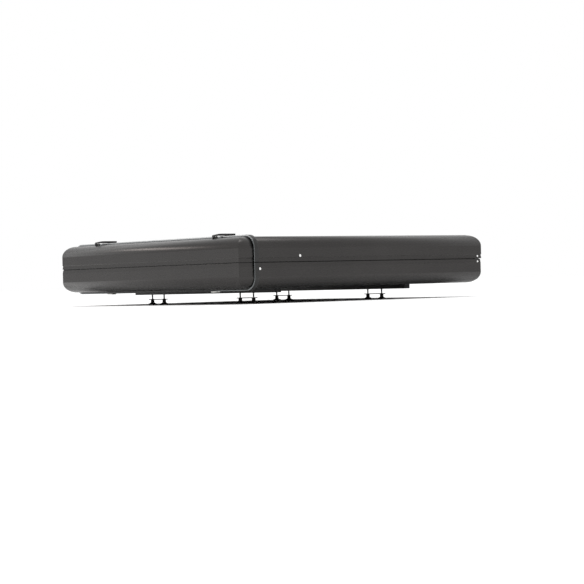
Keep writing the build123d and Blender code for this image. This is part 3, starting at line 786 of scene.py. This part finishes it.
# ---------------------------------------------------------------- the clamps
@dataclass
class Clamp(SubAssembly):
    """One crossbar clamp: two threaded studs, a plate and two lobed knobs."""

    side: Side
    hand: str
    stud_radius: float = 4.0 * MM
    pitch: float = 1.25 * MM
    thread_depth: float = 0.55 * MM
    head_rise: float = 7.0 * MM
    flange: float = 8.0 * MM
    rim: float = 4.6 * MM
    stem_radius: float = 8.5 * MM
    bore: float = 4.06 * MM
    lobes: int = 10
    lobe_depth: float = 1.7 * MM
    steps: int = 120

    @property
    def tag(self) -> str:
        """The clamp's place, as its nodes are named."""
        return f"{self.side.value}_{self.hand}"

    def stud(self, x: float, y: float, low: float, high: float) -> tuple[list[Vector], list[tuple[int, ...]]]:
        """A stud with a rolled thread below its square head.

        Args:
            x: The stud's place.
            y: The stud's place.
            low: Lower end of the thread.
            high: Top of the head.

        Returns:
            Points and faces.
        """
        around = 20
        seat = high - self.head_rise
        rows = int((seat - low) / self.pitch * 6)
        rings = []
        for row in range(rows + 1):
            z = low + (seat - low) * row / rows
            fade = min(1.0, (z - low) / (2 * MM) + 0.3)
            ring = []
            for step in range(around):
                share = step / around
                phase = ((z - low) / self.pitch - share) % 1.0
                cut = self.thread_depth * abs(2 * phase - 1)
                r = (self.stud_radius - cut) * (0.9 + 0.1 * fade)
                angle = 2 * math.pi * share
                ring.append(Vector((x + r * math.cos(angle), y + r * math.sin(angle), z)))
            rings.append(ring)
        half = 8 * MM
        levels = ((seat + 0.01 * MM, 0.5), (seat + 0.6 * MM, 0.0), (high - 0.6 * MM, 0.0), (high, 0.6))
        for z, inset in levels:
            ring = []
            for step in range(around):
                angle = 2 * math.pi * step / around
                reach = (half - inset * MM) / max(abs(math.cos(angle)), abs(math.sin(angle)))
                reach = min(reach, (half - inset * MM) * 1.33)
                ring.append(Vector((x + reach * math.cos(angle), y + reach * math.sin(angle), z)))
            rings.append(ring)
        return Maker.loft(rings)

    def knob(self, letter: str) -> None:
        """A lobed knob with a dished underside, a round stem and a bore for the stud."""
        node = f"clamp_knob_{self.tag}_{letter}"
        low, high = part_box(node)
        x, y = (low.x + high.x) / 2, (low.y + high.y) / 2
        outer = (high.y - low.y) / 2
        top = high.z - low.z
        rows = [(1.6 * MM, 0.3 * MM, 0.0), (1.6 * MM, 9.0 * MM, 0.0), (0.9 * MM, 11.0 * MM, 0.0),
                (0.0, 12.2 * MM, 0.0), (0.0, outer - 3.0 * MM, 0.3)]
        for step in range(1, 7):
            angle = math.pi / 2 * step / 6
            rows.append((2.4 * MM * (1 - math.cos(angle)), outer - 2.4 * MM * (1 - math.sin(angle)), 1.0))
        for step in range(7):
            angle = math.pi / 2 * step / 6
            height = self.rim - 2.2 * MM * (1 - math.sin(angle))
            rows.append((height, outer - 2.2 * MM * (1 - math.cos(angle)), 1.0))
        rows += [(self.rim + 0.5 * MM, outer - 4.5 * MM, 0.7),
                 (self.flange - 0.4 * MM, self.stem_radius + 3.5 * MM, 0.1),
                 (self.flange + 0.8 * MM, self.stem_radius + 0.9 * MM, 0.0),
                 (self.flange + 2.4 * MM, self.stem_radius + 0.1 * MM, 0.0),
                 (top - 0.9 * MM, self.stem_radius, 0.0),
                 (top, self.stem_radius - 0.8 * MM, 0.0), (top, self.bore + 0.6 * MM, 0.0),
                 (top - 0.6 * MM, self.bore, 0.0), (3.0 * MM, self.bore, 0.0), (3.0 * MM, 0.3 * MM, 0.0)]
        rings = []
        for height, radius, lobed in rows:
            ring = []
            for step in range(self.steps):
                angle = 2 * math.pi * step / self.steps
                dip = self.lobe_depth * (0.5 - 0.5 * math.cos(self.lobes * angle)) ** 1.6
                r = radius - lobed * dip
                ring.append(Vector((x + r * math.cos(angle), y + r * math.sin(angle), low.z + height)))
            rings.append(ring)
        points, faces = Maker.loft(rings)
        knob = Maker.piece(f"knob_{self.tag}_{letter}", points, faces, 40)
        self.add(knob, node, "black_plastic", PLASTIC, [node])

    def build(self) -> None:
        """Make the studs and knobs, and dress the plate."""
        node = f"clamp_bolts_{self.tag}"
        low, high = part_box(node)
        x = (low.x + high.x) / 2
        parts = [self.stud(x, y, low.z, high.z) for y in (low.y + 8 * MM, high.y - 8 * MM)]
        points, faces = Maker.joined(parts)
        studs = Maker.piece(f"threaded_studs_{self.tag}", points, faces, 25)
        self.add(studs, node, "plated_steel", ZINC, [node])
        self.dress([f"clamp_plate_{self.tag}"], STRAP_BLACK, 0.7 * MM)
        for letter in "ab":
            self.knob(letter)


# ---------------------------------------------------------------- inside
@dataclass
class Interior(SubAssembly):
    """Felt on the floor, the bulb seal on the base and the lashing loops."""

    cells: int = 90
    lump: float = 0.35 * MM

    def felt(self) -> None:
        """A felt mat with a slightly lumpy top and a pressed border."""
        low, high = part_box("floor_liner")
        wave = (17.0, 23.0, 41.0)
        xs = np.linspace(low.x, high.x, self.cells)
        ys = np.linspace(low.y, high.y, self.cells)
        points: list[tuple[float, float, float]] = []
        for top in (True, False):
            for y in ys:
                for x in xs:
                    if not top:
                        points.append((x, y, low.z))
                        continue
                    edge = min(x - low.x, high.x - x, y - low.y, high.y - y)
                    press = 1.4 * MM * math.exp(-edge / (9 * MM))
                    lumps = math.sin(wave[0] * x + 3 * math.sin(5 * y))
                    lumps += math.sin(wave[1] * y + 2 * math.sin(7 * x))
                    lumps += 0.6 * math.sin(wave[2] * (x + y))
                    points.append((x, y, high.z - press - self.lump * (1 + lumps / 2.6) / 2))
        faces: list[tuple[int, ...]] = []
        n = self.cells
        under = n * n
        for row in range(n - 1):
            for col in range(n - 1):
                a = row * n + col
                faces.append((a, a + 1, a + n + 1, a + n))
                faces.append((under + a, under + a + n, under + a + n + 1, under + a + 1))
        rim = [*range(n - 1), *range(n - 1, n * n - 1, n)]
        rim += [*range(n * n - 1, n * (n - 1), -1), *range(n * (n - 1), 0, -n)]
        for here, there in zip(rim, rim[1:] + rim[:1]):
            faces.append((here, under + here, under + there, there))
        mat = Maker.piece("floor_felt_mat", points, faces)
        mat = self.add(mat, "base", "floor_felt", FELT, ["floor_liner"])

    def bulb(self) -> None:
        """A round-topped seal along the front, lock side and rear of the base."""
        low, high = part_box("seam_gasket")
        half = 6 * MM
        path = [Vector((low.x, low.y + half, 0)), Vector((high.x - half, low.y + half, 0)),
                Vector((high.x - half, high.y - half, 0)), Vector((low.x, high.y - half, 0))]
        outs = [Vector((0, -1, 0)), Vector((1, -1, 0)), Vector((1, 1, 0)), Vector((0, 1, 0))]
        rings = []
        for point, out in zip(path, outs):
            ring = [point - out * half + Vector((0, 0, low.z)), point + out * half + Vector((0, 0, low.z))]
            for step in range(11):
                angle = math.pi * step / 10
                rise = 0.4 * MM + (high.z - low.z - 0.4 * MM) * math.sin(angle) ** 0.7
                ring.append(point + out * half * math.cos(angle) * 0.98 + Vector((0, 0, low.z + rise)))
            rings.append(ring)
        points, faces = Maker.loft(rings)
        self.add(Maker.piece("seam_bulb_seal", points, faces), "base", "seal_rubber", RUBBER, ["seam_gasket"])

    def build(self) -> None:
        """Lay the felt and the seal, and dress the loops."""
        self.felt()
        self.bulb()
        self.dress(["tie_downs"], STRAP_BLACK, 0.6 * MM)


# ---------------------------------------------------------------- the studio
@dataclass(frozen=True)
class Softbox:
    """A rectangular soft light aimed at the box."""

    name: str
    place: tuple[float, float, float]
    size: tuple[float, float]
    power: float
    colour: Colour
    aim: tuple[float, float, float] = (0.0, 0.0, 0.2)

    def build(self) -> None:
        """Hang the light."""
        light = bpy.data.lights.new(self.name, "AREA")
        light.shape = "RECTANGLE"
        light.size, light.size_y = self.size
        light.energy = self.power
        light.color = self.colour
        lamp = bpy.data.objects.new(self.name, light)
        lamp.location = self.place
        lamp.rotation_euler = (Vector(self.aim) - Vector(self.place)).to_track_quat("-Z", "Y").to_euler()
        lamp.visible_camera = False
        bpy.context.scene.collection.objects.link(lamp)


@dataclass
class Studio:
    """Pale floor, soft light and the camera."""

    eye: tuple[float, float, float] = (-5.21, -6.878, 0.086)
    turn: float = 37.855
    lift: float = -0.29
    roll: float = -1.51
    lens: float = 112.3
    floor_half: float = 60.0

    def camera(self) -> None:
        """A long lens low down at the near-left corner."""
        turn, lift, roll = (math.radians(v) for v in (self.turn, self.lift, self.roll))
        ahead = Vector((math.sin(turn) * math.cos(lift), math.cos(turn) * math.cos(lift), math.sin(lift)))
        right = Vector((math.cos(turn), -math.sin(turn), 0.0))
        up = right.cross(ahead)
        level_right = right * math.cos(roll) + up * math.sin(roll)
        level_up = up * math.cos(roll) - right * math.sin(roll)
        data = bpy.data.cameras.new("eye")
        data.lens = self.lens
        data.clip_start = 0.05
        data.clip_end = 500.0
        camera = bpy.data.objects.new("eye", data)
        axes = Matrix((level_right, level_up, -ahead)).transposed()
        camera.matrix_world = Matrix.Translation(self.eye) @ axes.to_4x4()
        bpy.context.scene.collection.objects.link(camera)
        bpy.context.scene.camera = camera

    def floor(self) -> None:
        """A wide pale paper floor."""
        h = self.floor_half
        corners = [(-h, -h, 0), (h, -h, 0), (h, h, 0), (-h, h, 0)]
        floor = Maker.piece("studio_floor", corners, [(0, 1, 2, 3)])
        sheet = NodeSheet("studio_floor_paper")
        sheet.link(sheet.blend(sheet.noise(3.0), (0.80, 0.80, 0.80), (0.84, 0.84, 0.84)), "Base Color")
        sheet.constants(Roughness=0.95, Specular_IOR_Level=0.0)
        floor.data.materials.append(sheet.material)

    def room(self) -> None:
        """Even white light from all round."""
        world = bpy.data.worlds.new("studio")
        bpy.context.scene.world = world
        world.use_nodes = True
        world.node_tree.nodes["Background"].inputs["Color"].default_value = (1.0, 1.0, 1.0, 1.0)

    def overhead(self) -> None:
        """A broad light from straight above."""
        light = bpy.data.lights.new("overhead", "SUN")
        light.energy = 1.6
        light.angle = math.radians(50)
        lamp = bpy.data.objects.new("overhead", light)
        lamp.rotation_euler = Vector((0.05, 0.1, -1.0)).to_track_quat("-Z", "Y").to_euler()
        bpy.context.scene.collection.objects.link(lamp)

    def build(self) -> None:
        """Set the stage."""
        self.camera()
        self.floor()
        self.room()
        self.overhead()
        Softbox("hinge_side_softbox", (-2.9, 3.2, 2.2), (2.4, 0.7), 24.0, (1.0, 0.92, 0.88)).build()
        bpy.context.scene.view_settings.view_transform = "Standard"


def main() -> None:
    """Build the studio and every group of pieces, in order."""
    logging.basicConfig(level=logging.INFO, format="%(message)s")
    Studio().build()
    clamps = [Clamp(side, hand) for side in Side for hand in ("left", "right")]
    groups: list[SubAssembly] = [Shell(), Hoop(), StrapHinges(), WallBolts(), GasSprings(), Lock(), Rails(),
                                 Interior(), *clamps]
    for group in groups:
        group.build()
        LOG.info("%s done", type(group).__name__)


if __name__ == "__main__":
    main()
